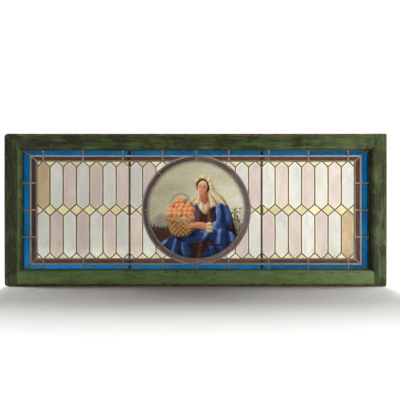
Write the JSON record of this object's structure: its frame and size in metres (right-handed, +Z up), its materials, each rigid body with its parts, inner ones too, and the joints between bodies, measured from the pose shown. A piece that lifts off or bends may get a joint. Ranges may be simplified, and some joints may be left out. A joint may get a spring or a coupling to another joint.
{
  "type": "leaded stained glass window sash",
  "caption": "Wide leaded stained glass window in a painted wooden sash, with hexagon panes, a blue and purple border and a painted roundel.",
  "frame": {"origin": "the middle of the sash's bottom edge, at half its depth", "axes": "+X along the width to the viewer's right, +Y from the room side to the back, +Z up"},
  "size_m": [1.524, 0.044, 0.608],
  "materials": {
    "sash_paint": "old green paint, worn to bare brown wood at the edges",
    "bead_paint": "green paint, plainer than the front",
    "lead": "dull oxidised lead, olive brown",
    "bar_steel": "dark rusted steel",
    "painted_glass": "painted and fired glass",
    "purple_glass": "streaky purple cathedral glass",
    "blue_glass": "clear cobalt blue rippled glass",
    "yellow_glass": "pale yellow opalescent glass",
    "pink_glass": "pale pink rippled glass",
    "white_glass": "near-clear rippled glass",
    "amber_glass": "tan and amber repair glass"
  },
  "bodies": {
    "root": {"left_stile": "sash_paint", "right_stile": "sash_paint", "top_rail": "sash_paint", "bottom_rail": "sash_paint", "bead_left": "bead_paint", "bead_right": "bead_paint", "bead_top": "bead_paint", "bead_bottom": "bead_paint", "lead_cames": "lead", "saddle_bar_left": "bar_steel", "saddle_bar_right": "bar_steel", "painted_roundel": "painted_glass", "purple_glass": "purple_glass", "blue_glass": "blue_glass", "yellow_top_left": "yellow_glass", "yellow_top_right": "yellow_glass", "yellow_middle_left": "yellow_glass", "yellow_middle_right": "yellow_glass", "yellow_bottom_left": "yellow_glass", "yellow_bottom_right": "yellow_glass", "pane_upper_00": "amber_glass", "pane_upper_01": "white_glass", "pane_upper_02": "pink_glass", "pane_upper_03": "white_glass", "pane_upper_04": "pink_glass", "pane_upper_05": "white_glass", "pane_upper_06": "pink_glass", "pane_upper_07": "white_glass", "pane_upper_08": "pink_glass", "pane_upper_09": "white_glass", "pane_upper_14": "pink_glass", "pane_upper_15": "white_glass", "pane_upper_16": "pink_glass", "pane_upper_17": "white_glass", "pane_upper_18": "pink_glass", "pane_upper_19": "white_glass", "pane_upper_20": "pink_glass", "pane_upper_21": "white_glass", "pane_upper_22": "pink_glass", "pane_upper_23": "white_glass", "pane_lower_00": "white_glass", "pane_lower_01": "pink_glass", "pane_lower_02": "white_glass", "pane_lower_03": "pink_glass", "pane_lower_04": "white_glass", "pane_lower_05": "pink_glass", "pane_lower_06": "white_glass", "pane_lower_07": "pink_glass", "pane_lower_08": "white_glass", "pane_lower_09": "pink_glass", "pane_lower_14": "white_glass", "pane_lower_15": "pink_glass", "pane_lower_16": "white_glass", "pane_lower_17": "pink_glass", "pane_lower_18": "white_glass", "pane_lower_19": "pink_glass", "pane_lower_20": "white_glass", "pane_lower_21": "pink_glass", "pane_lower_22": "white_glass", "pane_lower_23": "amber_glass"}
  },
  "joints": []
}
